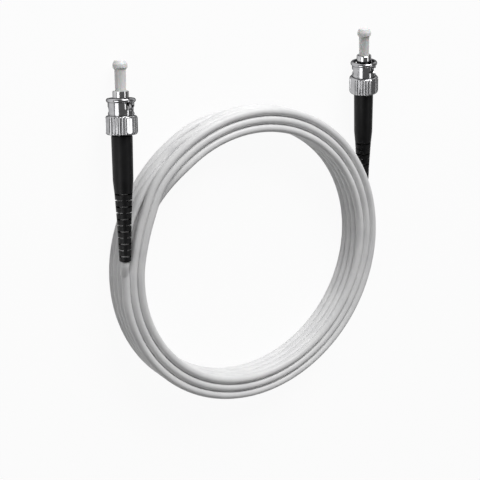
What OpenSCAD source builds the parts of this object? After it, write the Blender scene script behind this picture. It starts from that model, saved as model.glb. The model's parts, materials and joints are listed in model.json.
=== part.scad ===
// Fibre optic patch cord: one coiled simplex cable with a bayonet connector on each end.
// The coil lies flat on the ground, and both connectors point along +Y and rest on their nuts.
// A connector is built along its own Z axis, from the boot's tail (0) to the top of its dust cap.

/* [Cable] */
// Outside diameter of the cable's jacket
jacket_d = 2.7; // [2.6:0.05:2.8]
// Wall of the jacket
jacket_wall = 0.5; // [0.35:0.05:0.7]
// Diameter of the tight buffer round the fibre
buffer_d = 0.9; // [0.8:0.05:1.0]
// Diameter of the bare glass fibre
fibre_d = 0.125; // [0.12:0.005:0.14]
// Radius of the coil, to the middle of its outermost turn
coil_turn_r = 48.6; // [48:0.1:49.5]
// Turns that lie side by side across the coil
turns_across = 3; // [2:1:3]
// Layers of turns that lie on one another
turn_layers = 4; // [4:1:4]

/* [Boot] */
// Length of the strain relief boot
boot_len = 38.7; // [37:0.1:41]
// Diameter of the boot where it meets the nut
boot_top_d = 6.5; // [6.4:0.1:7.0]
// Diameter of the boot where its slots begin
boot_waist_d = 5.45; // [5.2:0.05:5.9]
// Diameter of the boot's tail
boot_tail_d = 3.7; // [3.6:0.05:3.75]
// Height of the topmost slot above the tail
boot_waist_z = 20.9; // [20:0.1:22]
// Rounding of the tail's rim
boot_tail_round = 0.45; // [0.2:0.05:0.5]
// Rows of slots
slot_rows = 11; // [7:2:13]
// Height of the lowest slot above the tail
slot_first_z = 1.7; // [1.4:0.1:2.2]
// Width of a slot along the boot
slot_w = 0.5; // [0.3:0.05:0.7]
// Width of the webs that join one boot ring to the next
slot_web_w = 1.0; // [0.7:0.1:1.3]

/* [Crimp] */
// Outside diameter of the crimp sleeve
sleeve_d = 5.0; // [4.9:0.05:5.1]
// Wall of the crimp sleeve
sleeve_wall = 0.35; // [0.3:0.05:0.4]
// Length of the wide part of the crimp sleeve
sleeve_len = 8.4; // [7.5:0.1:9]
// Length of the sleeve's neck, which grips the jacket
sleeve_neck_len = 3.5; // [2.5:0.1:4.5]
// Width across the flats that the crimping tool leaves
sleeve_flats = 4.75; // [4.7:0.05:4.85]
// Diameter of the knurled crimp post
post_d = 3.5; // [3.3:0.1:3.7]
// Length of the crimp post
post_len = 7.6; // [6.5:0.1:8]
// Knurl ridges round the crimp post
knurl_count = 12; // [8:2:16]

/* [Body] */
// Diameter of the barrel in front of the nut, and of the shank that carries the nut
barrel_d = 4.9; // [4.8:0.05:4.95]
// How far the barrel stands out in front of the nut
barrel_reach = 2.1; // [1.6:0.1:2.6]
// Diameter of the collar that the spring bears on
collar_d = 6.4; // [6.2:0.1:6.5]
// Thickness of the collar
collar_t = 0.8; // [0.6:0.1:1.0]
// Diameter of the recess in the barrel's mouth
mouth_d = 3.7; // [3.6:0.05:3.8]
// Depth of the recess in the barrel's mouth
mouth_depth = 0.8; // [0.6:0.1:1.2]
// Width of the alignment key
key_w = 1.4; // [1.2:0.1:1.6]
// Height of the alignment key above the barrel
key_h = 0.7; // [0.5:0.05:0.8]
// Length of the alignment key
key_len = 3.4; // [2.6:0.1:4.0]
// Angle of the key round the barrel, from the side that faces up
key_angle = 150; // [120:5:240]

/* [Ferrule] */
// Diameter of the ceramic ferrule
ferrule_d = 2.5; // [2.4:0.05:2.55]
// How far the ferrule stands out of the barrel
ferrule_reach = 5.4; // [5:0.1:6]
// Length of the ferrule inside the body
ferrule_seat_len = 7; // [6:0.1:7.2]
// Chamfer on the ferrule's tip
ferrule_chamfer = 0.35; // [0.2:0.05:0.5]

/* [Bayonet nut] */
// Diameter of the fluted grip
nut_d = 9.8; // [9.6:0.1:10.2]
// Length of the fluted grip
grip_len = 5.8; // [5.6:0.1:7]
// Rounding at both ends of the grip
grip_round = 0.9; // [0.5:0.1:1.1]
// Flutes in each group
flutes_per_group = 6; // [4:1:6]
// Groups of flutes round the grip
flute_groups = 4; // [3:1:4]
// Angle from one flute to the next
flute_pitch = 11.25; // [10.5:0.25:11.5]
// Depth of a flute
flute_depth = 0.32; // [0.2:0.02:0.36]
// Radius of a flute's hollow
flute_r = 0.45; // [0.4:0.01:0.48]
// Diameter of the smooth neck that holds the bayonet slots
neck_d = 8.0; // [7.9:0.05:8.2]
// Length of the smooth neck
neck_len = 3.8; // [3.6:0.1:5]
// Diameter of the bead round the nut's mouth
bead_d = 8.95; // [8.8:0.05:9.2]
// Width of the bead
bead_w = 1.4; // [1.2:0.1:1.5]
// Bore of the nut, which passes over the adapter's barrel
nut_bore_d = 7.1; // [7.0:0.05:7.2]
// Thickness of the wall inside the nut that the spring pushes on
web_t = 0.9; // [0.7:0.1:1.1]
// Depth of the pocket behind that wall
pocket_depth = 1.25; // [1.1:0.05:1.4]
// Width of the bayonet slots
bayonet_w = 1.9; // [1.6:0.1:2.0]
// Angle that a bayonet slot turns through
bayonet_turn = 70; // [55:5:85]
// How far a bayonet slot runs back along the nut
bayonet_drop = 1.2; // [0.8:0.1:1.4]
// Diameter of the hole that the adapter's lug locks in
detent_d = 2.2; // [2.1:0.05:2.4]
// Angle at which the first bayonet slot starts, from the side that faces up
bayonet_start = 30; // [0:5:90]

/* [Spring and clip] */
// Diameter of the spring's wire
wire_d = 0.45; // [0.35:0.05:0.5]
// Mean diameter of the spring
spring_d = 5.95; // [5.9:0.05:6.1]
// Turns of the spring
spring_turns = 4; // [3:0.5:5]
// Thickness of the washer behind the spring
washer_t = 0.35; // [0.3:0.05:0.5]
// Thickness of the retaining clip
clip_t = 0.6; // [0.5:0.05:0.7]
// Outside diameter of the retaining clip
clip_d = 6.2; // [6.0:0.1:6.4]
// Diameter of the groove that the clip sits in
clip_groove_d = 4.0; // [3.8:0.1:4.2]
// Width of the clip's opening
clip_gap_w = 3.0; // [2.5:0.1:3.5]

/* [Dust cap] */
// Length of the dust cap in front of the barrel
cap_len = 9; // [8.6:0.1:9.6]
// Diameter of the cap's tube below its head
cap_tube_d = 3.45; // [3.4:0.05:3.5]
// Diameter of the cap's tube at its open end
cap_mouth_d = 3.3; // [3.2:0.05:3.4]
// Diameter of the cap's head
cap_head_d = 4.5; // [4.2:0.1:5]
// Diameter of the head's flat top
cap_top_d = 3.5; // [3.2:0.1:3.8]
// Height of the cap's head
cap_head_len = 2.7; // [2.3:0.1:3]
// Height of the slope from the top to the head's full width
cap_slope_len = 1.1; // [0.8:0.1:1.3]
// Height of the slope under the head
cap_under_len = 0.55; // [0.4:0.05:0.7]

/* [Fit] */
// Clearance between pieces that don't move on each other
seat_gap = 0.02; // [0.01:0.01:0.03]
// Radial clearance between pieces that slide or turn on each other
run_gap = 0.05; // [0.03:0.01:0.08]
// Gap between the boot and the nut
nut_gap = 0.2; // [0.15:0.05:0.3]
// Clearance round whatever lies in the coil's recesses
lay_gap = 0.15; // [0.1:0.05:0.2]

/* [Lay] */
// Distance from the middle of the part to the coil's axis, along X
coil_x = -0.3; // [-1:0.1:1]
// Distance from the middle of the part to the coil's axis, along Y
coil_y = -39.55; // [-41:0.05:-38]
// Tail of the first connector, from the coil's axis
tail_a_x = -48.9; // [-49.5:0.1:-48.8]
// Tail of the first connector, from the coil's axis
tail_a_y = 7.9; // [7:0.1:9]
// Height of the first connector's tail
tail_a_z = 10.6; // [10.5:0.05:11]
// Angle by which the first connector leans towards the coil
lean_a = 3.9; // [0:0.1:5]
// Tail of the second connector, from the coil's axis
tail_b_x = 49.9; // [49.8:0.1:50.6]
// Tail of the second connector, from the coil's axis
tail_b_y = 10.6; // [10:0.1:12]
// Height of the second connector's tail
tail_b_z = 1.88; // [1.88:0.02:1.94]
// Angle by which the second connector leans towards the coil
lean_b = 5.0; // [0:0.1:6]
// Turn of both connectors about their own axes, from lying with their upper side straight up
face_turn = 32.6; // [0:0.1:60]

/* [Hidden] */
$fn = 96;
over = 1;                       // how far a cutter runs past the face that it cuts

// Heights along a connector, from the boot's tail
nut_z = boot_len + nut_gap;
web_z = nut_z + pocket_depth;
chamber_z = web_z + web_t;
neck_z = nut_z + grip_len;
bead_z = neck_z + neck_len;
nut_front_z = bead_z + bead_w;
rim_z = nut_front_z + barrel_reach;
mouth_z = rim_z - mouth_depth;
tip_z = rim_z + ferrule_reach;
ferrule_z = mouth_z - ferrule_seat_len;
clip_z = web_z - run_gap - clip_t;
washer_z = chamber_z + seat_gap;
spring_z = washer_z + washer_t + seat_gap;
spring_len = 4;                 // free length of the spring, over its wire
collar_z = spring_z + spring_len + seat_gap;
post_z = boot_len - 0.5 - post_len;
sleeve_z = boot_len - 0.5 - sleeve_len;
sleeve_taper = 1.1;             // length of the sleeve's slope between its neck and its wide part
neck_end_z = sleeve_z - sleeve_taper - sleeve_neck_len;
cap_top_z = rim_z + cap_len;
cap_mouth_z = mouth_z + run_gap;
cap_floor_z = tip_z + 0.3;

// Radii that follow from the fits
jacket_r = jacket_d / 2;
jacket_bore_r = jacket_r - jacket_wall;
core_bore_r = buffer_d / 2 + seat_gap;
post_r = post_d / 2;
sleeve_bore_r = sleeve_d / 2 - sleeve_wall;
sleeve_neck_r = jacket_r + seat_gap + sleeve_wall;
shank_r = barrel_d / 2;
boot_bore_r = jacket_r + run_gap;
boot_neck_bore_r = sleeve_neck_r + run_gap;
boot_wide_bore_r = sleeve_d / 2 + run_gap;
bead_r = bead_w / 2;
key_top_r = shank_r + key_h;

// How each connector leans to rest on the ground: a falls to its bead, b rises to its grip's end
bead_ring_r = bead_d / 2 - bead_r;
bead_mid_z = bead_z + bead_r;
fall_a = asin((tail_a_z - bead_r) / norm([bead_mid_z, bead_ring_r])) - atan2(bead_ring_r, bead_mid_z);
grip_ring_r = nut_d / 2 - grip_round;
grip_mid_z = nut_z + grip_round;
rise_b = atan2(grip_ring_r, grip_mid_z) + asin((grip_round - tail_b_z) / norm([grip_mid_z, grip_ring_r]));
spin = -90 - face_turn;

// The coil's section, and the recesses in it where the boots' tails lie
coil_out_r = coil_turn_r + jacket_r;
coil_in_r = coil_out_r - turns_across * jacket_d;
coil_h = turn_layers * jacket_d;
angle_a = atan2(tail_a_y, tail_a_x);
angle_b = atan2(tail_b_y, tail_b_x);
lead_a_angle = angle_a + 6;     // where the first lead runs into the coil
lead_b_angle = angle_b - 6;     // where the second lead runs into the coil
recess_span = 34;
recess_in_r = coil_turn_r - jacket_r - lay_gap;
top_turn_z = coil_h - jacket_r;

// Routes of the two leads from the boots into the coil, from the coil's axis
LEAD_A = [
    [tail_a_x, tail_a_y, tail_a_z],
    [-49.0, 6.1, 10.4],
    [-48.9, 4.2, 9.8],
    [coil_turn_r * cos(lead_a_angle), coil_turn_r * sin(lead_a_angle), top_turn_z]
];
LEAD_B = [
    [tail_b_x, tail_b_y, tail_b_z],
    [49.7, 8.8, 1.7],
    [49.2, 7.0, 1.5],
    [coil_turn_r * cos(lead_b_angle), coil_turn_r * sin(lead_b_angle), jacket_r]
];

// Moves the coil, and what is measured from its axis, to its place
module from_coil() {
    translate([coil_x, coil_y, 0]) children();
}

// Lays a connector down: its tail at a point, its axis along +Y, leaning and falling as given
module lay(tail, lean, fall) {
    from_coil() translate(tail) rotate([0, 0, -lean]) rotate([-90 - fall, 0, 0]) rotate([0, 0, spin])
        children();
}

module at_a() {
    lay([tail_a_x, tail_a_y, tail_a_z], lean_a, fall_a) children();
}

module at_b() {
    lay([tail_b_x, tail_b_y, tail_b_z], -lean_b, -rise_b) children();
}

// A turned ring from height z, with an outer and an inner radius
module ring(z, h, r_out, r_in) {
    translate([0, 0, z]) difference() {
        cylinder(r = r_out, h = h);
        translate([0, 0, -over]) cylinder(r = r_in, h = h + 2 * over);
    }
}

// Soft plug over the ferrule: a tapered tube with a bevelled head and a blind bore
module dust_cap() {
    tube_r = cap_tube_d / 2;
    bore_r = ferrule_d / 2 + run_gap;
    head_z = cap_top_z - cap_head_len;
    color("whitesmoke") rotate_extrude() polygon([
        [bore_r, cap_mouth_z],
        [cap_mouth_d / 2, cap_mouth_z],
        [tube_r, head_z],
        [cap_head_d / 2, head_z + cap_under_len],
        [cap_head_d / 2, cap_top_z - cap_slope_len],
        [cap_top_d / 2, cap_top_z],
        [0, cap_top_z],
        [0, cap_floor_z],
        [bore_r, cap_floor_z]
    ]);
}

// Ceramic pin with a fine hole for the glass and a funnel at its back
module ferrule() {
    r = ferrule_d / 2;
    hole_r = fibre_d / 2 + seat_gap;
    funnel_len = 1.2;
    color("white") rotate_extrude() polygon([
        [core_bore_r, ferrule_z],
        [r - ferrule_chamfer, ferrule_z],
        [r, ferrule_z + ferrule_chamfer],
        [r, tip_z - ferrule_chamfer],
        [r - ferrule_chamfer, tip_z],
        [hole_r, tip_z],
        [hole_r, ferrule_z + funnel_len]
    ]);
}

// Turned body: barrel with its key, spring collar, shank with the clip's groove, knurled crimp post
module key_barrel() {
    rim_bevel = 0.2;
    color("gainsboro") difference() {
        union() {
            rotate_extrude() polygon([
                [0, post_z],
                [post_r, post_z],
                [post_r, boot_len - 0.4],
                [shank_r, boot_len - 0.4],
                [shank_r, collar_z],
                [collar_d / 2, collar_z],
                [collar_d / 2, collar_z + collar_t],
                [shank_r, collar_z + collar_t],
                [shank_r, rim_z - rim_bevel],
                [shank_r - rim_bevel, rim_z],
                [0, rim_z]
            ]);
            rotate([0, 0, key_angle]) translate([0, -key_w / 2, rim_z - 0.4 - key_len])
                cube([key_top_r, key_w, key_len]);
        }
        ring(clip_z - seat_gap, clip_t + 2 * seat_gap, shank_r + over, clip_groove_d / 2);
        translate([0, 0, mouth_z]) cylinder(d = mouth_d, h = mouth_depth + over);
        translate([0, 0, rim_z - rim_bevel])
            cylinder(d1 = mouth_d, d2 = mouth_d + 4 * rim_bevel, h = 2 * rim_bevel);
        translate([0, 0, ferrule_z - seat_gap]) cylinder(r = ferrule_d / 2 + seat_gap, h = tip_z);
        translate([0, 0, post_z - over]) cylinder(r = core_bore_r, h = tip_z);
        post_knurl();
    }
}

// Grooves along the crimp post, which the aramid yarn is pressed into
module post_knurl() {
    groove_r = 0.15;
    for (i = [0 : knurl_count - 1])
        rotate([0, 0, i * 360 / knurl_count]) translate([post_r + groove_r / 3, 0, post_z - over])
            cylinder(r = groove_r, h = post_len + over, $fn = 24);
}

// Compression spring between the washer and the collar, one closed helix of round wire
module coupling_spring() {
    steps_per_turn = 20;
    sides = 8;
    steps = ceil(steps_per_turn * spring_turns);
    rise = spring_len - wire_d;
    points = [
        for (i = [0 : steps], k = [0 : sides - 1])
            let (
                a = 360 * spring_turns * i / steps,
                b = 360 * k / sides,
                r = spring_d / 2 + wire_d / 2 * cos(b)
            )
            [r * cos(a), r * sin(a), spring_z + wire_d / 2 + rise * i / steps + wire_d / 2 * sin(b)]
    ];
    color("silver") polyhedron(points, tube_faces(steps, sides));
}

// Faces of a tube of so many steps, its rings' points in one list
function tube_faces(steps, sides) = concat(
    [[for (k = [0 : sides - 1]) k]],
    [for (i = [0 : steps - 1], k = [0 : sides - 1])
        [i * sides + k, (i + 1) * sides + k, (i + 1) * sides + (k + 1) % sides, i * sides + (k + 1) % sides]],
    [[for (k = [sides - 1 : -1 : 0]) steps * sides + k]]
);

// Washer that the spring pushes back against the nut's inner wall
module spring_washer() {
    color("silver") ring(washer_z, washer_t, nut_bore_d / 2 - run_gap, shank_r + run_gap);
}

// Coupling nut: bead, neck with two ramped slots, grip with groups of flutes
module bayonet_nut() {
    color("dimgray") difference() {
        union() {
            grip_blank();
            translate([0, 0, neck_z - grip_round]) cylinder(d = neck_d, h = neck_len + grip_round + bead_r);
            rotate_extrude() bead_profile();
        }
        nut_flutes();
        translate([0, 0, chamber_z]) cylinder(d = nut_bore_d, h = nut_front_z);
        translate([0, 0, nut_z - over]) cylinder(r = shank_r + run_gap, h = nut_front_z);
        translate([0, 0, nut_z - over]) cylinder(d = nut_bore_d, h = pocket_depth + over);
        for (side = [0, 180]) rotate([0, 0, bayonet_start + side]) bayonet_slot();
    }
}

// The grip before its flutes: a drum with round edges
module grip_blank() {
    translate([0, 0, nut_z]) rotate_extrude() {
        square([grip_ring_r, grip_len]);
        translate([0, grip_round]) square([nut_d / 2, grip_len - 2 * grip_round]);
        for (z = [grip_round, grip_len - grip_round]) translate([grip_ring_r, z]) circle(r = grip_round);
    }
}

// Half section of the rolled bead round the mouth
module bead_profile() {
    translate([bead_ring_r, bead_mid_z]) circle(r = bead_r);
    translate([0, bead_z]) square([bead_ring_r, bead_w]);
}

// Hollows in groups, with a smooth land between one group and the next
module nut_flutes() {
    flute_mid_r = nut_d / 2 - flute_depth + flute_r;
    first = -face_group_turn - (flutes_per_group - 1) / 2 * flute_pitch;
    for (g = [0 : flute_groups - 1], i = [0 : flutes_per_group - 1])
        rotate([0, 0, first + g * 360 / flute_groups + i * flute_pitch])
            translate([flute_mid_r, 0, nut_z - over]) cylinder(r = flute_r, h = grip_len + 2 * over, $fn = 32);
}
face_group_turn = 10;           // turn of the first group of flutes from the side that faces up

// One slot: an entry under the bead, a ramp through the neck's wall and the hole that it ends in
module bayonet_slot() {
    entry_r = bead_d / 2 - 0.3;
    entry_z = bead_z - bayonet_w / 2 - 0.1;
    translate([0, -bayonet_w / 2, entry_z]) cube([entry_r, bayonet_w, nut_front_z - entry_z + over]);
    for (half = [0, 1]) hull() {
        bayonet_peg(half / 2, bayonet_w, entry_z);
        bayonet_peg((half + 1) / 2, bayonet_w, entry_z);
    }
    bayonet_peg(1, detent_d, entry_z + 0.1);
}

// A round cutter through the wall, a share of the way along the ramp
module bayonet_peg(share, d, z) {
    rotate([0, 0, share * bayonet_turn]) translate([nut_bore_d / 2 - 1, 0, z - share * bayonet_drop])
        rotate([0, 90, 0]) cylinder(d = d, h = neck_d / 2 - nut_bore_d / 2 + 1.6, $fn = 32);
}

// Open ring in the shank's groove, which stops the nut
module retaining_clip() {
    color("silver") difference() {
        ring(clip_z, clip_t, clip_d / 2, clip_groove_d / 2 + seat_gap);
        translate([0, -clip_gap_w / 2, clip_z - over]) cube([clip_d, clip_gap_w, clip_t + 2 * over]);
    }
}

// Crimped sleeve: round at its lip, pressed to a hexagon over the post, narrow round the jacket
module crimp_sleeve() {
    r = sleeve_d / 2;
    lip = 0.9;
    color("goldenrod") difference() {
        union() {
            translate([0, 0, sleeve_z + sleeve_len - lip]) cylinder(r = r, h = lip);
            translate([0, 0, sleeve_z]) intersection() {
                cylinder(r = r, h = sleeve_len - lip + seat_gap);
                cylinder(d = sleeve_flats / cos(30), h = sleeve_len - lip + seat_gap, $fn = 6);
            }
            rotate_extrude() polygon([
                [0, neck_end_z],
                [sleeve_neck_r, neck_end_z],
                [sleeve_neck_r, sleeve_z - sleeve_taper],
                [sleeve_flats / 2, sleeve_z],
                [0, sleeve_z]
            ]);
        }
        translate([0, 0, sleeve_z]) cylinder(r = sleeve_bore_r, h = sleeve_len + over);
        translate([0, 0, sleeve_z - sleeve_taper])
            cylinder(r1 = jacket_r + seat_gap, r2 = sleeve_bore_r, h = sleeve_taper);
        translate([0, 0, neck_end_z - over]) cylinder(r = jacket_r + seat_gap, h = sleeve_z);
    }
}

// Pulling yarn: a layer inside the jacket that flares out over the crimp post
module aramid_yarn() {
    core_r = core_bore_r + seat_gap;
    in_r = jacket_bore_r - seat_gap;
    flare_z = jacket_end_z + seat_gap;
    color("gold") rotate_extrude() polygon([
        [core_r, 0],
        [in_r, 0],
        [in_r, flare_z],
        [sleeve_bore_r - seat_gap, post_z + 0.1],
        [sleeve_bore_r - seat_gap, sleeve_z + sleeve_len - 1.5],
        [post_r + seat_gap, sleeve_z + sleeve_len - 1.5],
        [post_r + seat_gap, post_z - seat_gap],
        [core_r, post_z - 0.9]
    ]);
}
jacket_end_z = neck_end_z + sleeve_neck_len - 0.4;

// Tight buffer from the cable, stripped to bare glass where it enters the ferrule
module buffered_fibre() {
    strip_z = ferrule_z - seat_gap;
    color("cyan") cylinder(d = buffer_d, h = strip_z);
    color("white") translate([0, 0, strip_z]) cylinder(d = fibre_d, h = tip_z - strip_z);
}

// The cable's jacket where it runs through the boot and into the sleeve's neck
module jacket_end() {
    color("white") ring(0, jacket_end_z, jacket_r, jacket_bore_r);
}

// Tapered rubber boot with crossed rows of slots, so that it bends like a chain of rings
module boot() {
    color([0.1, 0.1, 0.1]) difference() {
        rotate_extrude() {
            polygon([
                [0, 0],
                [boot_tail_d / 2 - boot_tail_round, 0],
                [boot_tail_d / 2, boot_tail_round],
                [boot_waist_d / 2, boot_waist_z],
                [boot_top_d / 2, boot_len - 0.4],
                [boot_top_d / 2 - 0.4, boot_len],
                [0, boot_len]
            ]);
            translate([boot_tail_d / 2 - boot_tail_round, boot_tail_round]) circle(r = boot_tail_round);
        }
        translate([0, 0, -over]) cylinder(r = boot_bore_r, h = boot_len + 2 * over);
        translate([0, 0, neck_end_z - 0.3]) cylinder(r = boot_neck_bore_r, h = boot_len);
        translate([0, 0, sleeve_z - sleeve_taper]) cylinder(r = boot_wide_bore_r, h = boot_len);
        boot_slots();
    }
}

// Rows of slots, each a disc cut away but for two webs, every second row turned a quarter
module boot_slots() {
    pitch = (boot_waist_z - slot_first_z) / (slot_rows - 1);
    slot_turn = 10;
    for (i = [0 : slot_rows - 1])
        translate([0, 0, slot_first_z + i * pitch - slot_w / 2]) rotate([0, 0, slot_turn + (i % 2) * 90])
            difference() {
                cylinder(r = boot_top_d, h = slot_w);
                translate([-slot_web_w / 2, -boot_top_d - over, -over])
                    cube([slot_web_w, 2 * (boot_top_d + over), slot_w + 2 * over]);
            }
}

// The coiled cable as one ring of its outer shape, open where the boots' tails lie
module cable_coil() {
    color("gainsboro") difference() {
        from_coil() rotate_extrude() coil_section();
        from_coil() rotate([0, 0, lead_a_angle - recess_span])
            rotate_extrude(angle = recess_span)
                translate([recess_in_r, coil_h - jacket_d - lay_gap]) square([jacket_d * 2, jacket_d * 2]);
        from_coil() rotate([0, 0, lead_b_angle])
            rotate_extrude(angle = recess_span)
                translate([recess_in_r, -over]) square([jacket_d * 2, jacket_d + lay_gap + over]);
        at_a() boot_envelope();
        at_b() boot_envelope();
    }
}

// Section of the coil: a block with the turns' own roundness at its corners
module coil_section() {
    translate([coil_in_r + jacket_r, 0]) square([coil_out_r - coil_in_r - jacket_d, coil_h]);
    translate([coil_in_r, jacket_r]) square([coil_out_r - coil_in_r, coil_h - jacket_d]);
    for (r = [coil_in_r + jacket_r, coil_turn_r], z = [jacket_r, top_turn_z])
        translate([r, z]) circle(r = jacket_r);
}

// The room that a boot's slotted part takes in the coil
module boot_envelope() {
    translate([0, 0, -lay_gap]) cylinder(
        r1 = boot_tail_d / 2 + lay_gap,
        r2 = boot_waist_d / 2 + lay_gap,
        h = boot_waist_z
    );
}

// Direction across two others, of length one
function side_of(u, v) = cross(u, v) / norm(cross(u, v));

// A bare length of cable along a route, with eight sides
module lead(route, start_dir, end_dir) {
    sides = 8;
    last = len(route) - 1;
    dirs = [for (i = [0 : last])
        i == 0 ? start_dir : i == last ? end_dir : route[i + 1] - route[i - 1]];
    points = [
        for (i = [0 : last], k = [0 : sides - 1])
            let (u = side_of([0, 0, 1], dirs[i]), v = side_of(dirs[i], u), b = 360 * (k + 0.5) / sides)
            route[i] + jacket_r * (cos(b) * u + sin(b) * v)
    ];
    color("gainsboro") from_coil() polyhedron(points, tube_faces(last, sides));
}

module cable_lead_a() {
    lead(LEAD_A, [-sin(lean_a) * cos(fall_a), -cos(lean_a) * cos(fall_a), sin(fall_a)],
        [-sin(lead_a_angle), cos(lead_a_angle), 0]);
}

module cable_lead_b() {
    lead(LEAD_B, [sin(lean_b) * cos(rise_b), -cos(lean_b) * cos(rise_b), -sin(rise_b)],
        [sin(lead_b_angle), -cos(lead_b_angle), 0]);
}

at_a() dust_cap();  // dust_cap_a
at_a() ferrule();  // ferrule_a
at_a() key_barrel();  // key_barrel_a
at_a() coupling_spring();  // coupling_spring_a
at_a() spring_washer();  // spring_washer_a
at_a() bayonet_nut();  // bayonet_nut_a
at_a() retaining_clip();  // retaining_clip_a
at_a() crimp_sleeve();  // crimp_sleeve_a
at_a() aramid_yarn();  // aramid_yarn_a
at_a() buffered_fibre();  // buffered_fibre_a
at_a() jacket_end();  // jacket_end_a
at_a() boot();  // boot_a
at_b() dust_cap();  // dust_cap_b
at_b() ferrule();  // ferrule_b
at_b() key_barrel();  // key_barrel_b
at_b() coupling_spring();  // coupling_spring_b
at_b() spring_washer();  // spring_washer_b
at_b() bayonet_nut();  // bayonet_nut_b
at_b() retaining_clip();  // retaining_clip_b
at_b() crimp_sleeve();  // crimp_sleeve_b
at_b() aramid_yarn();  // aramid_yarn_b
at_b() buffered_fibre();  // buffered_fibre_b
at_b() jacket_end();  // jacket_end_b
at_b() boot();  // boot_b
cable_coil();
cable_lead_a();
cable_lead_b();
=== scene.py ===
"""A coiled fibre optic patch cord with a bayonet connector on each end, dressed for its close-up.

Lengths are in metres. A connector's pieces are drawn upright, from its boot's tail at height 0 to the
top of its dust cap, and then laid where the frame's joints say that the connector lies.
"""

import json
import math

import bmesh
import bpy
from mathutils import Matrix, Vector

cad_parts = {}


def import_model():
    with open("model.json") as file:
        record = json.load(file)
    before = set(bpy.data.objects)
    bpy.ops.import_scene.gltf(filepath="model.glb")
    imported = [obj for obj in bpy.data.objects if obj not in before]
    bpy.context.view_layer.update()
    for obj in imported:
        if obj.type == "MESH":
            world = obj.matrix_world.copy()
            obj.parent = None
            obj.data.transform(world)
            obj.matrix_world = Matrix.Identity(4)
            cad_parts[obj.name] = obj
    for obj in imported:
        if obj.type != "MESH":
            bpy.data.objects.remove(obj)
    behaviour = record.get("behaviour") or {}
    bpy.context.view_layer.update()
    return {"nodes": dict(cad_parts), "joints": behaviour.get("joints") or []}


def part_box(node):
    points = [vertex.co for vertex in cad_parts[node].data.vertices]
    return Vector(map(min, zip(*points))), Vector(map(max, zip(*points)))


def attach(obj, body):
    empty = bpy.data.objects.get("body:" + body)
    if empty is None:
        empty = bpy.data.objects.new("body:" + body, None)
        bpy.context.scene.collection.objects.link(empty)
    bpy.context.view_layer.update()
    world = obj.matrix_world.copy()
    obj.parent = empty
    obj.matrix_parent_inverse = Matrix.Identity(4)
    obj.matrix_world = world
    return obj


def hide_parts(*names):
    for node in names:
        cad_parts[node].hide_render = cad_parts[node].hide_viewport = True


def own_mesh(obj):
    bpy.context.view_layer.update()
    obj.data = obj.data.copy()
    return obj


MM = 0.001
ENDS = ("a", "b")

# The cable and its winding
CABLE_D = 2.7 * MM
CABLE_SIDES = 20
TURNS_ACROSS = 3
TURN_LAYERS = 4
POINTS_PER_TURN = 30
FINE_STEPS = 6                  # rings of the cable's mesh from one point of its route to the next
LEAD_ANGLE = 6                  # degrees round the coil from a boot's tail to where its lead joins it
CROSS_SPAN = 28                 # degrees that a turn takes to move over to its next place
CROSS_LAG = 8.4                 # degrees from one step of the crossing to the next
CROSS_END = 162                 # where the last turn has moved over

# The leads from each boot's tail towards the coil, from the coil's axis
LEAD_A = [
    (-48.9 * MM, 7.9 * MM, 10.6 * MM),
    (-49.0 * MM, 6.1 * MM, 10.4 * MM),
    (-48.9 * MM, 4.2 * MM, 9.8 * MM),
]
LEAD_B = [
    (49.9 * MM, 10.6 * MM, 1.88 * MM),
    (49.7 * MM, 8.8 * MM, 1.7 * MM),
    (49.2 * MM, 7.0 * MM, 1.5 * MM),
]

# The connector's heights above its boot's tail
BOOT_LEN = 38.7 * MM
NUT_Z = BOOT_LEN + 0.2 * MM
GRIP_LEN = 5.8 * MM
NECK_Z = NUT_Z + GRIP_LEN
BEAD_Z = NECK_Z + 3.8 * MM
BEAD_W = 1.4 * MM
NUT_FRONT_Z = BEAD_Z + BEAD_W
WEB_Z = NUT_Z + 1.25 * MM
CHAMBER_Z = WEB_Z + 0.9 * MM
RIM_Z = NUT_FRONT_Z + 2.1 * MM
MOUTH_Z = RIM_Z - 0.8 * MM
TIP_Z = RIM_Z + 5.4 * MM        # the ferrule's tip
CAP_TOP_Z = RIM_Z + 9.0 * MM
FACE_TURN = 32.6                # degrees by which the marked side leans from straight up

# The nut's radii
GRIP_R = 4.9 * MM
GRIP_ROUND = 0.9 * MM
NECK_R = 4.0 * MM
BEAD_OUT_R = 4.475 * MM
NUT_BORE_R = 3.55 * MM
SHANK_HOLE_R = 2.5 * MM

# The spring behind the nut's inner wall
SPRING_Z = CHAMBER_Z + 0.39 * MM
SPRING_LEN = 4 * MM



def main():
    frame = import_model()
    build_camera()
    coil = Coil()
    places = {end: end_place(frame, end) for end in ENDS}
    looks = build_looks()
    build_cable(coil, looks)
    build_boots(places, looks)
    build_nuts(places, looks)
    build_springs(places, looks)
    build_caps(places, looks)
    dress_inner_pieces(frame, looks)
    build_stage()
    build_lights()


# ---------------------------------------------------------------- places

class Coil:
    """Where the coil lies: its axis and the middle of its outermost turn."""

    def __init__(self):
        lo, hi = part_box("cable_coil")
        self.axis = Vector(((lo.x + hi.x) / 2, (lo.y + hi.y) / 2, 0))
        self.turn_r = (hi.x - lo.x) / 2 - CABLE_D / 2

    def at(self, angle, radius, height):
        """The point at an angle round the coil, in degrees from +X."""
        a = math.radians(angle)
        return self.axis + Vector((radius * math.cos(a), radius * math.sin(a), height))


def end_place(frame, end):
    """The matrix that lays an upright connector down: from its nut's joint in the frame."""
    joint = next(j for j in frame["joints"] if j["name"] == f"nut_{end}_turn")
    axis = Vector(joint["axis"])
    tail = Vector(joint["pos_m"]) - axis * NUT_Z
    fall = math.asin(-axis.z)
    lean = math.atan2(axis.x, axis.y)
    turn = Matrix.Rotation(-lean, 4, "Z") @ Matrix.Rotation(-math.pi / 2 - fall, 4, "X")
    spin = Matrix.Rotation(math.radians(-90 - FACE_TURN), 4, "Z")
    return Matrix.Translation(tail) @ turn @ spin


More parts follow.
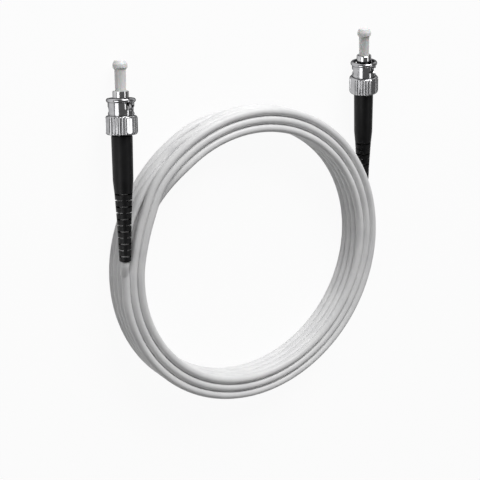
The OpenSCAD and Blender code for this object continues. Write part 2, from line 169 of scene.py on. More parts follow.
# ---------------------------------------------------------------- camera, stage and light

def build_camera():
    """A long lens that looks down on the coil, from the side that the connectors' faces turn to."""
    turn = math.radians(32.65)
    rise = math.radians(18.155)
    distance = 404.5 * MM
    aim_right = -0.30 * MM
    aim_up = 3.07 * MM
    right = Vector((math.cos(turn), 0, math.sin(turn)))
    back = Vector((-math.sin(turn) * math.cos(rise), math.sin(rise), math.cos(turn) * math.cos(rise)))
    up = back.cross(right)
    data = bpy.data.cameras.new("camera")
    data.lens = 90.13
    data.sensor_width = 36
    data.clip_start = 0.01
    data.clip_end = 20
    camera = bpy.data.objects.new("camera", data)
    bpy.context.scene.collection.objects.link(camera)
    place = Matrix((right, up, back)).transposed().to_4x4()
    place.translation = Coil().axis + right * aim_right + up * aim_up + back * distance
    camera.matrix_world = place
    bpy.context.scene.camera = camera


def build_stage():
    """A wide pale floor that looks white and keeps a soft shadow, in an even studio."""
    half = 3.0
    below = 0.02 * MM
    world_level = 0.15
    corners = [(-half, -half, -below), (half, -half, -below), (half, half, -below), (-half, half, -below)]
    mesh = bpy.data.meshes.new("floor")
    mesh.from_pydata(corners, [], [(0, 1, 2, 3)])
    mesh.materials.append(floor_finish())
    floor = bpy.data.objects.new("floor", mesh)
    bpy.context.scene.collection.objects.link(floor)
    world = bpy.data.worlds.new("studio")
    bpy.context.scene.world = world
    world.use_nodes = True
    background = world.node_tree.nodes["Background"]
    background.inputs["Color"].default_value = (1, 1, 1, 1)
    background.inputs["Strength"].default_value = world_level


def floor_finish():
    """White to the eye and in reflections, with a share of true shading so that shadows show."""
    white_share = 0.94
    floor_grey = 0.8
    material = bpy.data.materials.new("floor_white")
    material.use_nodes = True
    tree = material.node_tree
    tree.nodes.clear()
    out = tree.nodes.new("ShaderNodeOutputMaterial")
    shade = tree.nodes.new("ShaderNodeBsdfDiffuse")
    shade.inputs["Color"].default_value = (floor_grey, floor_grey, floor_grey, 1)
    glow = tree.nodes.new("ShaderNodeEmission")
    glow.inputs["Strength"].default_value = 1.0
    path = tree.nodes.new("ShaderNodeLightPath")
    seen = math_node(tree, "MAXIMUM", path.outputs["Is Camera Ray"], path.outputs["Is Glossy Ray"])
    seen = math_node(tree, "MAXIMUM", seen, path.outputs["Is Transmission Ray"])
    share = math_node(tree, "MULTIPLY", seen, white_share)
    mix = tree.nodes.new("ShaderNodeMixShader")
    tree.links.new(share, mix.inputs["Fac"])
    tree.links.new(shade.outputs[0], mix.inputs[1])
    tree.links.new(glow.outputs[0], mix.inputs[2])
    tree.links.new(mix.outputs[0], out.inputs["Surface"])
    return material


def build_lights():
    """A soft key from beyond the connectors, a fill, and two panels that only draw lines along the metal."""
    area_light("key_panel", (0.20, 0.85, 0.48), 0.50, 0.4, 6.0)
    area_light("left_fill", (-0.83, -0.17, 0.48), 0.34, 0.4, 0.5)
    left_panel = area_light("left_panel", (-0.90, -0.10, 0.40), 0.42, 0.5, 1.45)
    right_strip = area_light("right_strip", (0.52, -0.16, 0.84), 0.14, 0.5, 0.6)
    for shine_only in (left_panel, right_strip):
        shine_only.visible_diffuse = False


def area_light(name, toward, wide, long, watts):
    """A panel of that width and length, in metres, in a direction from the cord's middle."""
    aim = Vector((0, -0.02, 0))
    distance = 0.8
    back = Vector(toward).normalized()
    across = Vector((0, 1, 0)).cross(back).normalized()
    data = bpy.data.lights.new(name, "AREA")
    data.shape = "RECTANGLE"
    data.size = wide
    data.size_y = long
    data.energy = watts
    light = bpy.data.objects.new(name, data)
    place = Matrix((across, back.cross(across), back)).transposed().to_4x4()
    place.translation = aim + back * distance
    light.matrix_world = place
    bpy.context.scene.collection.objects.link(light)
    return light


# ---------------------------------------------------------------- finishes

def math_node(tree, operation, a, b=0.0, c=0.0):
    """The result of a sum over values, or over other nodes' outputs."""
    node = tree.nodes.new("ShaderNodeMath")
    node.operation = operation
    for socket, value in zip(node.inputs, (a, b, c)):
        if isinstance(value, (int, float)):
            socket.default_value = value
        else:
            tree.links.new(value, socket)
    return node.outputs[0]


class Finish:
    """A finish under construction: its shader, and the patterns that reach it."""

    def __init__(self, name, rough, metallic=0.0, specular=0.5):
        self.material = bpy.data.materials.new(name)
        self.material.use_nodes = True
        self.tree = self.material.node_tree
        self.shader = self.tree.nodes["Principled BSDF"]
        self.shader.inputs["Roughness"].default_value = rough
        self.shader.inputs["Metallic"].default_value = metallic
        self.shader.inputs["Specular IOR Level"].default_value = specular
        self.coordinates = self.tree.nodes.new("ShaderNodeTexCoord")

    def set(self, socket, value):
        self.shader.inputs[socket].default_value = value

    def noise(self, scale, detail=3.0, source="Object", stretch=(1, 1, 1)):
        """Cloudy noise over the surface, so many clouds to the metre."""
        mapping = self.tree.nodes.new("ShaderNodeMapping")
        mapping.inputs["Scale"].default_value = stretch
        self.tree.links.new(self.coordinates.outputs[source], mapping.inputs["Vector"])
        noise = self.tree.nodes.new("ShaderNodeTexNoise")
        noise.inputs["Scale"].default_value = scale
        noise.inputs["Detail"].default_value = detail
        self.tree.links.new(mapping.outputs[0], noise.inputs["Vector"])
        return noise.outputs["Fac"]

    def ramp(self, fac, low, high, start=0.35, end=0.65):
        """Values from low to high where the pattern goes from start to end."""
        node = self.tree.nodes.new("ShaderNodeMapRange")
        node.inputs["From Min"].default_value = start
        node.inputs["From Max"].default_value = end
        node.inputs["To Min"].default_value = low
        node.inputs["To Max"].default_value = high
        self.tree.links.new(fac, node.inputs["Value"])
        return node.outputs[0]

    def colour(self, fac, dark, light):
        """The colour goes from dark to light with the pattern."""
        node = self.tree.nodes.new("ShaderNodeValToRGB")
        node.color_ramp.elements[0].position = 0.35
        node.color_ramp.elements[0].color = (*dark, 1)
        node.color_ramp.elements[1].position = 0.65
        node.color_ramp.elements[1].color = (*light, 1)
        self.tree.links.new(fac, node.inputs["Fac"])
        self.tree.links.new(node.outputs["Color"], self.shader.inputs["Base Color"])

    def rough(self, fac, low, high):
        self.tree.links.new(self.ramp(fac, low, high), self.shader.inputs["Roughness"])

    def bump(self, fac, strength, depth):
        """The pattern stands out of the surface by up to depth."""
        node = self.tree.nodes.new("ShaderNodeBump")
        node.inputs["Strength"].default_value = strength
        node.inputs["Distance"].default_value = depth
        self.tree.links.new(fac, node.inputs["Height"])
        self.tree.links.new(node.outputs[0], self.shader.inputs["Normal"])


def jacket_finish():
    """Smooth white jacket, faintly clouded."""
    finish = Finish("jacket_white", 0.42, specular=0.4)
    clouds = finish.noise(160)
    finish.colour(clouds, (0.76, 0.76, 0.765), (0.82, 0.82, 0.82))
    finish.rough(clouds, 0.38, 0.46)
    finish.bump(finish.noise(2500, 2), 0.15, 0.01 * MM)
    return finish.material


def rubber_finish():
    """Moulded black rubber with a fine matt skin."""
    finish = Finish("boot_rubber", 0.5, specular=0.2)
    finish.colour(finish.noise(300), (0.004, 0.004, 0.0045), (0.008, 0.008, 0.0085))
    skin = finish.noise(4000, 2)
    finish.rough(skin, 0.42, 0.52)
    finish.bump(skin, 0.25, 0.01 * MM)
    return finish.material


def turned_nickel_finish(name, dark, light, edge):
    """Plated metal with the fine rings of a lathe, as dark as the edge value where it turns away: that dark
    Specular Tint paints a dark reflection along the rims.
    """
    rough = 0.13
    finish = Finish(name, rough, metallic=1.0)
    rings = finish.noise(1.0, 3, source="UV", stretch=(2, 9000, 1))
    finish.colour(finish.noise(500), dark, light)
    finish.rough(rings, rough * 0.85, rough * 1.2)
    finish.bump(rings, 0.12, 0.004 * MM)
    # The dark Specular Tint is painted shade: it darkens the metal's reflection at grazing angles, standing
    # in for dark surroundings.
    finish.set("Specular Tint", (edge, edge, edge, 1))
    return finish.material


def cap_finish():
    """Soft translucent plug plastic."""
    finish = Finish("cap_plastic", 0.38)
    clouds = finish.noise(400)
    finish.colour(clouds, (0.76, 0.76, 0.76), (0.82, 0.82, 0.82))
    finish.rough(clouds, 0.34, 0.42)
    finish.bump(finish.noise(3000, 2), 0.12, 0.01 * MM)
    finish.set("Subsurface Weight", 0.15)
    finish.set("Subsurface Scale", 0.6 * MM)
    return finish.material


def ceramic_finish():
    """Polished white ceramic."""
    finish = Finish("ferrule_ceramic", 0.12)
    finish.colour(finish.noise(900), (0.86, 0.86, 0.84), (0.90, 0.90, 0.88))
    finish.bump(finish.noise(5000, 2), 0.05, 0.002 * MM)
    return finish.material


def spring_steel_finish():
    """Drawn steel, unevenly bright."""
    finish = Finish("spring_steel", 0.28, metallic=1.0)
    drawn = finish.noise(1200, 3)
    finish.colour(drawn, (0.50, 0.50, 0.51), (0.62, 0.62, 0.62))
    finish.rough(drawn, 0.22, 0.34)
    return finish.material


def brass_finish():
    """Pressed brass with faint tool marks."""
    finish = Finish("crimp_brass", 0.3, metallic=1.0)
    marks = finish.noise(900, 3)
    finish.colour(marks, (0.55, 0.50, 0.40), (0.68, 0.63, 0.52))
    finish.rough(marks, 0.25, 0.4)
    return finish.material


def yarn_finish():
    """Yellow yarn in fine lengthwise strands."""
    finish = Finish("aramid_yarn", 0.7)
    strands = finish.noise(3500, 4)
    finish.colour(strands, (0.60, 0.42, 0.10), (0.85, 0.66, 0.22))
    finish.bump(strands, 0.6, 0.05 * MM)
    return finish.material


def buffer_finish():
    """Coloured plastic round the glass."""
    finish = Finish("fibre_buffer", 0.35)
    finish.colour(finish.noise(700), (0.10, 0.42, 0.55), (0.13, 0.48, 0.62))
    return finish.material


def build_looks():
    """Every finish of the cord, by the name of its slot in the record."""
    # The last values, 0.06 and 0.15, are the Specular Tint that paints a dark reflection along each metal's
    # rims.
    nickel = turned_nickel_finish("nickel_dark", (0.42, 0.42, 0.43), (0.50, 0.50, 0.51), 0.06)
    barrel = turned_nickel_finish("nickel_bright", (0.50, 0.50, 0.51), (0.58, 0.58, 0.58), 0.15)
    return {
        "cable_jacket": jacket_finish(),
        "boot_rubber": rubber_finish(),
        "nickel_dark": nickel,
        "nickel_bright": barrel,
        "cap_plastic": cap_finish(),
        "ceramic": ceramic_finish(),
        "spring_steel": spring_steel_finish(),
        "crimp_brass": brass_finish(),
        "aramid": yarn_finish(),
        "fibre_buffer": buffer_finish(),
    }


# ---------------------------------------------------------------- mesh helpers

def arc(centre_r, centre_z, radius, start, end, steps=8):
    """Points of a half section along an arc, from one angle to another in degrees."""
    angles = [math.radians(start + (end - start) * i / steps) for i in range(steps + 1)]
    return [(centre_r + radius * math.cos(a), centre_z + radius * math.sin(a)) for a in angles]


def swell(low_r, high_r, low_z, high_z, steps=4):
    """Points of a half section after its first, from one radius to another."""
    shares = [k / steps for k in range(1, steps + 1)]
    return [(low_r + (high_r - low_r) * x, low_z + (high_z - low_z) * x) for x in shares]


def lathe(name, profile, segments):
    """A closed turned body from its half section, with u round it and v up it in metres."""
    mesh = bpy.data.meshes.new(name)
    build = bmesh.new()
    uv = build.loops.layers.uv.new("UVMap")
    rings = []
    for radius, height in profile:
        if radius < 1e-9:
            rings.append([build.verts.new((0, 0, height))])
            continue
        angles = [2 * math.pi * k / segments for k in range(segments)]
        points = [(radius * math.cos(a), radius * math.sin(a), height) for a in angles]
        rings.append([build.verts.new(point) for point in points])
    for low, high in zip(rings, rings[1:] + rings[:1]):
        if len(low) == 1 and len(high) == 1:
            continue
        for k in range(segments):
            n = (k + 1) % segments
            corners = [(low, k, k), (low, n, k + 1), (high, n, k + 1), (high, k, k)]
            if len(low) == 1:
                corners.pop(1)
            if len(high) == 1:
                corners.pop(-2)
            face = build.faces.new([ring[i % len(ring)] for ring, i, _ in corners])
            for loop, (_, _, turn) in zip(face.loops, corners):
                loop[uv].uv = (turn / segments, loop.vert.co.z)
    bmesh.ops.recalc_face_normals(build, faces=build.faces)
    build.to_mesh(mesh)
    build.free()
    piece = bpy.data.objects.new(name, mesh)
    bpy.context.scene.collection.objects.link(piece)
    return piece


def finish_mesh(piece, crease=30):
    """Smooth shading, with an edge wherever two faces meet at more than the crease."""
    piece.data.shade_smooth()
    piece.data.set_sharp_from_angle(angle=math.radians(crease))


def laid_copy(piece, name, place):
    """A copy of an upright piece, laid where its connector lies, with the object itself at the origin."""
    mesh = piece.data.copy()
    mesh.transform(place)
    mesh.name = name
    copy = bpy.data.objects.new(name, mesh)
    bpy.context.scene.collection.objects.link(copy)
    return copy


def put_on_both_ends(piece, places, name, node, body):
    """Lays a copy of an upright piece at each end, where it stands for its node and rides on its body."""
    copies = []
    for end, place in places.items():
        copy = laid_copy(piece, f"{name}_{end}", place)
        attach(copy, body.format(end))
        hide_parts(f"{node}_{end}")
        copies.append(copy)
    bpy.data.objects.remove(piece)
    return copies


class Recipe:
    """A Geometry Nodes tree under construction, with named inputs for its sizes."""

    SOCKETS = {float: "NodeSocketFloat", int: "NodeSocketInt", bpy.types.Material: "NodeSocketMaterial"}

    def __init__(self, name):
        self.tree = bpy.data.node_groups.new(name, "GeometryNodeTree")
        self.tree.interface.new_socket("Geometry", in_out="INPUT", socket_type="NodeSocketGeometry")
        self.tree.interface.new_socket("Geometry", in_out="OUTPUT", socket_type="NodeSocketGeometry")
        self.source = self.tree.nodes.new("NodeGroupInput")
        self.target = self.tree.nodes.new("NodeGroupOutput")
        self.values = {}

    def size(self, name, value):
        """A named input of the tree, and the value that this object gives it."""
        kind = next(s for t, s in self.SOCKETS.items() if isinstance(value, t))
        socket = self.tree.interface.new_socket(name, in_out="INPUT", socket_type=kind)
        self.values[socket.identifier] = value
        return self.source.outputs[name]

    def node(self, kind, settings=None, **inputs):
        """A node with settings of its own, and its inputs given by their names in lower case."""
        node = self.tree.nodes.new(kind)
        for key, value in (settings or {}).items():
            setattr(node, key, value)
        for key, value in inputs.items():
            socket = next(s for s in node.inputs if s.enabled and s.name.lower().replace(" ", "_") == key)
            if isinstance(value, bpy.types.NodeSocket):
                self.tree.links.new(value, socket)
            else:
                socket.default_value = value
        return node

    def sum(self, operation, a, b=0.0, c=0.0):
        return math_node(self.tree, operation, a, b, c)

    def vector(self, x, y, z):
        return self.node("ShaderNodeCombineXYZ", x=x, y=y, z=z).outputs[0]

    def end_with(self, geometry, material):
        """Ends the tree: real geometry, in one material."""
        real = self.node("GeometryNodeRealizeInstances", geometry=geometry)
        painted = self.node("GeometryNodeSetMaterial", geometry=real.outputs[0], material=material)
        self.tree.links.new(painted.outputs[0], self.target.inputs[0])

    def cook(self, piece):
        """Runs the tree on a piece and leaves it as a plain mesh."""
        modifier = piece.modifiers.new(self.tree.name, "NODES")
        modifier.node_group = self.tree
        for identifier, value in self.values.items():
            modifier[identifier] = value
        bpy.context.view_layer.update()
        depsgraph = bpy.context.evaluated_depsgraph_get()
        mesh = bpy.data.meshes.new_from_object(piece.evaluated_get(depsgraph))
        piece.modifiers.remove(modifier)
        piece.data = mesh
        return piece


# ---------------------------------------------------------------- cable

def winding_order():
    """The turns' places in the coil's section, as (column from outside, layer from the top), in order."""
    order = []
    for layer in range(TURN_LAYERS):
        columns = range(TURNS_ACROSS) if layer % 2 == 0 else reversed(range(TURNS_ACROSS))
        order.extend((column, layer) for column in columns)
    return order


def crossing_starts(order):
    """The angle at which each turn starts to move over: later turns move first, to leave room."""
    steps = [0]
    for k in range(len(order) - 3, -1, -1):
        falls = order[k][1] != order[k + 1][1]
        fell = order[k + 1][1] != order[k + 2][1]
        steps.append(steps[-1] + (1 if falls or fell else 0))
    last = steps[-1]
    return [CROSS_END - CROSS_SPAN - CROSS_LAG * (last - s) for s in reversed(steps)]


def ease(x):
    """0 up to 0, 1 from 1, and a smooth swing between."""
    return (1 - math.cos(math.pi * min(max(x, 0.0), 1.0))) / 2


def coil_points(coil, first, last):
    """The route's points round the coil, turn by turn, outermost at the top first."""
    order = winding_order()
    starts = crossing_starts(order)
    count = round((last - first) / 360 * POINTS_PER_TURN)
    points = []
    for i in range(count + 1):
        angle = first + (last - first) * i / count
        column, layer = order[0]
        for k, start in enumerate(starts):
            moved = ease((angle - 360 * (k + 1) - start) / CROSS_SPAN)
            column += moved * (order[k + 1][0] - order[k][0])
            layer += moved * (order[k + 1][1] - order[k][1])
        radius = coil.turn_r - column * CABLE_D
        height = (TURN_LAYERS - layer - 0.5) * CABLE_D
        points.append(coil.at(angle, radius, height))
    return points


def cable_route(coil):
    """The whole cable's route: out of boot a, round all the turns and into boot b."""
    lead_a = [coil.axis + Vector(p) for p in LEAD_A]
    lead_b = [coil.axis + Vector(p) for p in LEAD_B]
    first = math.degrees(math.atan2(LEAD_A[0][1], LEAD_A[0][0])) + LEAD_ANGLE
    last = math.degrees(math.atan2(LEAD_B[0][1], LEAD_B[0][0])) - LEAD_ANGLE
    last += 360 * TURNS_ACROSS * TURN_LAYERS
    return lead_a + coil_points(coil, first, last) + lead_b[::-1]


def smooth_line(points, steps):
    """A fine line through points, with the slope at each taken from its neighbours."""
    line = []
    count = len(points)
    for i in range(count - 1):
        before = points[max(i - 1, 0)]
        start, end = points[i], points[i + 1]
        after = points[min(i + 2, count - 1)]
        gap = (end - start).length
        slope_in = (end - before) / (end - before).length * gap
        slope_out = (after - start) / (after - start).length * gap
        for k in range(steps):
            x = k / steps
            x2, x3 = x * x, x * x * x
            line.append(start * (2 * x3 - 3 * x2 + 1) + slope_in * (x3 - 2 * x2 + x)
                        + end * (3 * x2 - 2 * x3) + slope_out * (x3 - x2))
    return line + [points[-1]]


def tube(name, points, radius, sides):
    """A round tube along points, with u round it and v along it in metres."""
    mesh = bpy.data.meshes.new(name)
    verts, faces, uvs = [], [], []
    along = [0.0]
    for p, q in zip(points, points[1:]):
        along.append(along[-1] + (q - p).length)
    side = Vector((0, 0, 1))
    for i, point in enumerate(points):
        ahead = points[min(i + 1, len(points) - 1)] - points[max(i - 1, 0)]
        ahead.normalize()
        side = (side - ahead * side.dot(ahead)).normalized()
        other = ahead.cross(side)
        for k in range(sides):
            a = 2 * math.pi * k / sides
            verts.append(point + (side * math.cos(a) + other * math.sin(a)) * radius)
    for i in range(len(points) - 1):
        for k in range(sides):
            n = (k + 1) % sides
            faces.append((i * sides + k, i * sides + n, (i + 1) * sides + n, (i + 1) * sides + k))
            uvs += [k / sides, along[i], (k + 1) / sides, along[i]]
            uvs += [(k + 1) / sides, along[i + 1], k / sides, along[i + 1]]
    last = (len(points) - 1) * sides
    faces.append(tuple(range(sides - 1, -1, -1)))
    faces.append(tuple(last + k for k in range(sides)))
    uvs += [0.0] * (4 * sides)
    mesh.from_pydata(verts, [], faces)
    mesh.uv_layers.new(name="UVMap").data.foreach_set("uv", uvs)
    piece = bpy.data.objects.new(name, mesh)
    bpy.context.scene.collection.objects.link(piece)
    return piece


def build_cable(coil, looks):
    """The whole cable as one tube, from one boot to the other."""
    slack = 0.01 * MM
    points = smooth_line(cable_route(coil), FINE_STEPS)
    cable = tube("patch_cable", points, CABLE_D / 2 - slack, CABLE_SIDES)
    cable.data.materials.append(looks["cable_jacket"])
    finish_mesh(cable, 60)
    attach(cable, "root")
    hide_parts("cable_coil", "cable_lead_a", "cable_lead_b")


# ---------------------------------------------------------------- boot

def build_boots(places, looks):
    """Tapered boots, with crossed rows of slots that let the jacket show."""
    tail_r = 1.85 * MM
    tail_round = 0.45 * MM
    slim_r = 2.2 * MM
    slim_z = 11.9 * MM
    waist_r = 2.725 * MM
    waist_z = 20.9 * MM
    shoulder_r = 3.12 * MM
    shoulder_z = 25.0 * MM
    top_r = 3.25 * MM
    top_round = 0.4 * MM
    jacket_bore_r = 1.4 * MM
    neck_bore_r = 1.77 * MM
    neck_bore_z = 24.9 * MM
    wide_bore_r = 2.55 * MM
    wide_bore_z = 28.7 * MM
    slot_rows = 11
    first_slot_z = 1.7 * MM
    profile = arc(tail_r - tail_round, tail_round, tail_round, -90, 0, 6)
    profile += swell(tail_r, slim_r, tail_round, slim_z)
    profile += swell(slim_r, waist_r, slim_z, waist_z)
    profile += swell(waist_r, shoulder_r, waist_z, shoulder_z)
    profile += arc(top_r - top_round, BOOT_LEN - top_round, top_round, 0, 90, 6)
    profile += [(wide_bore_r, BOOT_LEN), (wide_bore_r, wide_bore_z), (neck_bore_r, wide_bore_z)]
    profile += [(neck_bore_r, neck_bore_z), (jacket_bore_r, neck_bore_z), (jacket_bore_r, 0)]
    boot = lathe("boot", profile, 96)
    pitch = (waist_z - first_slot_z) / (slot_rows - 1)
    boot_slot_recipe(slot_rows, first_slot_z, pitch, looks["boot_rubber"]).cook(boot)
    finish_mesh(boot, 30)
    put_on_both_ends(boot, places, "strain_relief_boot", "boot", "root")


def boot_slot_recipe(row_count, first_height, row_pitch, material_value):
    """Cuts rows of slots, each a disc but for two webs, with every second row turned a quarter."""
    recipe = Recipe("boot_slots")
    rows = recipe.size("Rows", row_count)
    first_z = recipe.size("First height", first_height)
    pitch = recipe.size("Pitch", row_pitch)
    slot_w = recipe.size("Slot width", 0.5 * MM)
    web_w = recipe.size("Web width", 1.0 * MM)
    reach = recipe.size("Reach", 6 * MM)
    turn = recipe.size("Turn", math.radians(10))
    material = recipe.size("Material", material_value)
    block_size = recipe.vector(reach, recipe.sum("MULTIPLY", reach, 2.0), slot_w)
    block = recipe.node("GeometryNodeMeshCube", size=block_size)
    shift = recipe.sum("MULTIPLY", recipe.sum("ADD", reach, web_w), 0.5)
    halves = []
    for way in (1.0, -1.0):
        place = recipe.vector(recipe.sum("MULTIPLY", shift, way), 0.0, 0.0)
        moved = recipe.node("GeometryNodeTransform", geometry=block.outputs[0], translation=place)
        halves.append(moved.outputs[0])
    pair = recipe.node("GeometryNodeJoinGeometry")
    for half in halves:
        recipe.tree.links.new(half, pair.inputs[0])
    index = recipe.node("GeometryNodeInputIndex").outputs[0]
    line = recipe.node("GeometryNodeMeshLine", count=rows, start_location=recipe.vector(0.0, 0.0, first_z),
                       offset=recipe.vector(0.0, 0.0, pitch))
    quarter = recipe.sum("MULTIPLY", recipe.sum("MODULO", index, 2.0), math.pi / 2)
    spin = recipe.vector(0.0, 0.0, recipe.sum("ADD", turn, quarter))
    cutters = recipe.node("GeometryNodeInstanceOnPoints", points=line.outputs[0], instance=pair.outputs[0],
                          rotation=spin)
    cut = recipe.node("GeometryNodeMeshBoolean", {"operation": "DIFFERENCE", "solver": "EXACT"},
                      mesh_1=recipe.source.outputs["Geometry"])
    recipe.tree.links.new(cutters.outputs[0], cut.inputs["Mesh 2"])
    recipe.end_with(cut.outputs[0], material)
    return recipe


# ---------------------------------------------------------------- bayonet nut

def nut_profile():
    """Half section: grip with round edges, groove, neck, rolled bead, bore, inner wall and pocket."""
    bead_r = BEAD_W / 2
    bead_ring_r = BEAD_OUT_R - bead_r
    bead_mid_z = BEAD_Z + bead_r
    grip_ring_r = GRIP_R - GRIP_ROUND
    from_neck = -math.degrees(math.acos((NECK_R - bead_ring_r) / bead_r))
    to_bore = math.degrees(math.acos((NUT_BORE_R - bead_ring_r) / bead_r))
    groove_r = NECK_R - 0.12 * MM
    groove_start = NECK_Z + 0.02 * MM
    groove_end = NECK_Z + 0.22 * MM
    neck_start = NECK_Z + 0.34 * MM
    profile = arc(grip_ring_r, NUT_Z + GRIP_ROUND, GRIP_ROUND, -90, 0)
    profile += arc(grip_ring_r, NECK_Z - GRIP_ROUND, GRIP_ROUND, 0, 90)
    profile += [(groove_r, groove_start), (groove_r, groove_end), (NECK_R, neck_start)]
    profile += arc(bead_ring_r, bead_mid_z, bead_r, from_neck, to_bore, 18)
    profile += [(NUT_BORE_R, CHAMBER_Z), (SHANK_HOLE_R, CHAMBER_Z), (SHANK_HOLE_R, WEB_Z)]
    profile += [(NUT_BORE_R, WEB_Z), (NUT_BORE_R, NUT_Z)]
    return profile


def flute_recipe(material_value):
    """Presses groups of hollows into the grip, with a smooth land between one group and the next."""
    recipe = Recipe("grip_flutes")
    flutes = recipe.size("Flutes in a group", 6.0)
    groups = recipe.size("Groups", 4.0)
    pitch = recipe.size("Pitch", math.radians(11.25))
    first = recipe.size("Turn of the first group", math.radians(-10))
    depth = recipe.size("Depth", 0.32 * MM)
    hollow_r = recipe.size("Hollow radius", 0.45 * MM)
    grip_r = recipe.size("Grip radius", GRIP_R)
    edge = recipe.size("Edge softness", 0.05 * MM)
    flat_depth = recipe.size("Depth of the flat lands", 0.09 * MM)
    material = recipe.size("Material", material_value)

    position = recipe.node("GeometryNodeInputPosition").outputs[0]
    split = recipe.node("ShaderNodeSeparateXYZ", vector=position)
    x, y, z = split.outputs
    square = recipe.sum("ADD", recipe.sum("MULTIPLY", x, x), recipe.sum("MULTIPLY", y, y))
    radius = recipe.sum("SQRT", square)
    angle = recipe.sum("SUBTRACT", recipe.sum("ARCTAN2", y, x), first)
    half_sector = recipe.sum("DIVIDE", math.pi, groups)
    local = recipe.sum("WRAP", angle, half_sector, recipe.sum("MULTIPLY", half_sector, -1.0))
    last = recipe.sum("MULTIPLY", recipe.sum("SUBTRACT", flutes, 1.0), 0.5)
    place = recipe.sum("ADD", recipe.sum("DIVIDE", local, pitch), last)
    nearest = recipe.sum("MINIMUM", recipe.sum("MAXIMUM", recipe.sum("ROUND", place), 0.0),
                         recipe.sum("MULTIPLY", last, 2.0))
    away = recipe.sum("MULTIPLY", recipe.sum("SUBTRACT", place, nearest), pitch)
    hollow_ring = recipe.sum("ADD", recipe.sum("SUBTRACT", grip_r, depth), hollow_r)
    across = recipe.sum("MULTIPLY", hollow_ring, recipe.sum("SINE", away))
    hollow_square = recipe.sum("MULTIPLY", hollow_r, hollow_r)
    inside = recipe.sum("SUBTRACT", hollow_square, recipe.sum("MULTIPLY", across, across))
    reach = recipe.sum("SQRT", recipe.sum("MAXIMUM", inside, 0.0))
    floor = recipe.sum("SUBTRACT", recipe.sum("MULTIPLY", hollow_ring, recipe.sum("COSINE", away)), reach)
    from_land = recipe.sum("SUBTRACT", recipe.sum("ABSOLUTE", local), half_sector)
    flat = recipe.sum("DIVIDE", recipe.sum("SUBTRACT", grip_r, flat_depth), recipe.sum("COSINE", from_land))
    landed = recipe.sum("MINIMUM", radius, flat)
    pressed = recipe.sum("SMOOTH_MIN", landed, floor, edge)
    scale = recipe.sum("DIVIDE", pressed, radius)
    moved = recipe.vector(recipe.sum("MULTIPLY", x, scale), recipe.sum("MULTIPLY", y, scale), z)
    on_grip = recipe.sum("GREATER_THAN", radius, NECK_R + 0.02 * MM)
    fluted = recipe.node("GeometryNodeSetPosition", geometry=recipe.source.outputs["Geometry"],
                         selection=on_grip, position=moved)
    recipe.end_with(fluted.outputs[0], material)
    return recipe


def slot_recipe(material_value):
    """Cuts the two ramped slots through the neck, each with its entry and the hole that it ends in."""
    recipe = Recipe("bayonet_slots")
    width = recipe.size("Width", 1.9 * MM)
    turn = recipe.size("Turn", math.radians(70))
    drop = recipe.size("Drop", 1.2 * MM)
    hole_r = recipe.size("Hole radius", 1.1 * MM)
    start = recipe.size("Start", math.radians(30))
    top = recipe.size("Slot height", BEAD_Z - 1.05 * MM)
    ramp_r = recipe.size("Ramp radius", 4.0 * MM)
    wall = recipe.size("Wall", 2.0 * MM)
    entry_r = recipe.size("Entry radius", BEAD_OUT_R - 0.3 * MM)
    entry_len = recipe.size("Entry length", 4 * MM)
    material = recipe.size("Material", material_value)
    steps = 24

    index = recipe.node("GeometryNodeInputIndex").outputs[0]
    share = recipe.sum("DIVIDE", index, float(steps))
    angle = recipe.sum("MULTIPLY", share, turn)
    height = recipe.sum("SUBTRACT", top, recipe.sum("MULTIPLY", share, drop))
    on_ramp = recipe.vector(recipe.sum("MULTIPLY", recipe.sum("COSINE", angle), ramp_r),
                            recipe.sum("MULTIPLY", recipe.sum("SINE", angle), ramp_r), height)
    line = recipe.node("GeometryNodeMeshLine", count=steps + 1)
    ramp = recipe.node("GeometryNodeSetPosition", geometry=line.outputs[0], position=on_ramp)
    curve = recipe.node("GeometryNodeMeshToCurve", mesh=ramp.outputs[0])
    upright = recipe.node("GeometryNodeSetCurveNormal", {"mode": "Z_UP"}, curve=curve.outputs[0])
    section = recipe.node("GeometryNodeCurvePrimitiveQuadrilateral", width=wall, height=width)
    groove = recipe.node("GeometryNodeCurveToMesh", curve=upright.outputs[0],
                         profile_curve=section.outputs[0], fill_caps=True)

    half_width = recipe.sum("MULTIPLY", width, 0.5)
    pegs = []
    for radius, peg_angle, fall in ((half_width, 0.0, 0.0), (hole_r, turn, drop)):
        peg = recipe.node("GeometryNodeMeshCylinder", vertices=48, radius=radius, depth=wall)
        peg_z = recipe.sum("SUBTRACT", top, fall)
        out = recipe.node("GeometryNodeTransform", geometry=peg.outputs[0],
                          translation=recipe.vector(ramp_r, 0.0, peg_z), rotation=(0.0, math.pi / 2, 0.0))
        turned = recipe.node("GeometryNodeTransform", geometry=out.outputs[0],
                             rotation=recipe.vector(0.0, 0.0, peg_angle))
        pegs.append(turned.outputs[0])
    block = recipe.node("GeometryNodeMeshCube", size=recipe.vector(wall, width, entry_len))
    block_x = recipe.sum("SUBTRACT", entry_r, recipe.sum("MULTIPLY", wall, 0.5))
    block_z = recipe.sum("ADD", top, recipe.sum("MULTIPLY", entry_len, 0.5))
    entry = recipe.node("GeometryNodeTransform", geometry=block.outputs[0],
                        translation=recipe.vector(block_x, 0.0, block_z))

    shape = recipe.source.outputs["Geometry"]
    for side in (0.0, math.pi):
        spin = recipe.vector(0.0, 0.0, recipe.sum("ADD", start, side))
        for cutter in (groove.outputs[0], *pegs, entry.outputs[0]):
            turned = recipe.node("GeometryNodeTransform", geometry=cutter, rotation=spin)
            cut = recipe.node("GeometryNodeMeshBoolean", {"operation": "DIFFERENCE", "solver": "EXACT"},
                              mesh_1=shape)
            recipe.tree.links.new(turned.outputs[0], cut.inputs["Mesh 2"])
            shape = cut.outputs[0]
    recipe.end_with(shape, material)
    return recipe


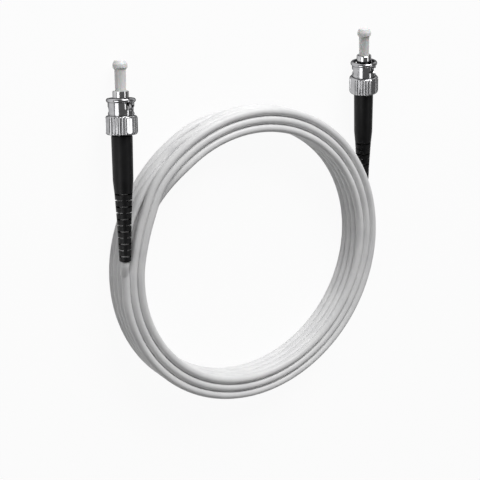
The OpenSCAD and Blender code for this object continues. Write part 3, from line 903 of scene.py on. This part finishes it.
def build_nuts(places, looks):
    """Coupling nuts: turned, then fluted, then slotted."""
    nut = lathe("nut", nut_profile(), 576)
    flute_recipe(looks["nickel_dark"]).cook(nut)
    slot_recipe(looks["nickel_dark"]).cook(nut)
    finish_mesh(nut, 40)
    put_on_both_ends(nut, places, "bayonet_coupling_nut", "bayonet_nut", "nut_{}")


# ---------------------------------------------------------------- spring

def build_springs(places, looks):
    """Compression springs at their free length, wound as a helix and laid at each end."""
    empty = bpy.data.meshes.new("spring")
    spring = bpy.data.objects.new("spring", empty)
    bpy.context.scene.collection.objects.link(spring)
    recipe = Recipe("spring_helix")
    wire_r = recipe.size("Wire radius", 0.225 * MM)
    coil_r = recipe.size("Coil radius", 2.975 * MM)
    turns = recipe.size("Turns", 4.0)
    length = recipe.size("Free length", SPRING_LEN)
    low = recipe.size("Height", SPRING_Z)
    material = recipe.size("Material", looks["spring_steel"])
    rise = recipe.sum("SUBTRACT", length, recipe.sum("MULTIPLY", wire_r, 2.0))
    helix = recipe.node("GeometryNodeCurveSpiral", resolution=36, rotations=turns, start_radius=coil_r,
                        end_radius=coil_r, height=rise)
    raised = recipe.node("GeometryNodeTransform", geometry=helix.outputs[0],
                         translation=recipe.vector(0.0, 0.0, recipe.sum("ADD", low, wire_r)))
    section = recipe.node("GeometryNodeCurvePrimitiveCircle", resolution=12, radius=wire_r)
    wire = recipe.node("GeometryNodeCurveToMesh", curve=raised.outputs[0], profile_curve=section.outputs[0],
                       fill_caps=True)
    recipe.end_with(wire.outputs[0], material)
    recipe.cook(spring)
    finish_mesh(spring, 60)
    copies = put_on_both_ends(spring, places, "nut_spring", "coupling_spring", "root")
    for copy, (end, place) in zip(copies, places.items()):
        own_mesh(copy)


# ---------------------------------------------------------------- dust cap

def build_caps(places, looks):
    """Soft plugs over the ferrules, with a bevelled head."""
    bore_r = 1.3 * MM
    mouth_r = 1.65 * MM
    tube_r = 1.725 * MM
    head_r = 2.25 * MM
    top_r = 1.75 * MM
    soft = 0.15 * MM
    fillet = 0.05 * MM
    mouth_z = MOUTH_Z + 0.05 * MM
    head_z = CAP_TOP_Z - 2.7 * MM
    widest_from = head_z + 0.6 * MM
    widest_to = CAP_TOP_Z - 1.15 * MM
    floor_z = TIP_Z + 0.3 * MM
    profile = [(bore_r, mouth_z), (mouth_r, mouth_z), (tube_r, head_z - soft)]
    profile += [(tube_r + fillet, head_z), (head_r - soft, widest_from - soft)]
    profile += arc(head_r - soft, widest_from, soft, -40, 0, 3)
    profile += arc(head_r - soft, widest_to, soft, 0, 24, 3)
    profile += arc(top_r - soft, CAP_TOP_Z - soft, soft, 24, 90, 4)
    profile += [(0, CAP_TOP_Z), (0, floor_z), (bore_r, floor_z)]
    cap = lathe("cap", profile, 64)
    cap.data.materials.append(looks["cap_plastic"])
    finish_mesh(cap, 40)
    put_on_both_ends(cap, places, "dust_plug", "dust_cap", "cap_{}")


# ---------------------------------------------------------------- inner pieces

def dress_inner_pieces(frame, looks):
    """Finishes for the pieces inside, which keep the frame's own shape."""
    slots = {
        "ferrule": "ceramic",
        "key_barrel": "nickel_bright",
        "spring_washer": "spring_steel",
        "retaining_clip": "spring_steel",
        "crimp_sleeve": "crimp_brass",
        "aramid_yarn": "aramid",
        "buffered_fibre": "fibre_buffer",
        "jacket_end": "cable_jacket",
    }
    for piece, slot in slots.items():
        for end in ENDS:
            node = frame["nodes"][f"{piece}_{end}"]
            node.data.materials.clear()
            node.data.materials.append(looks[slot])


main()
bpy.context.scene.view_settings.view_transform = "Standard"
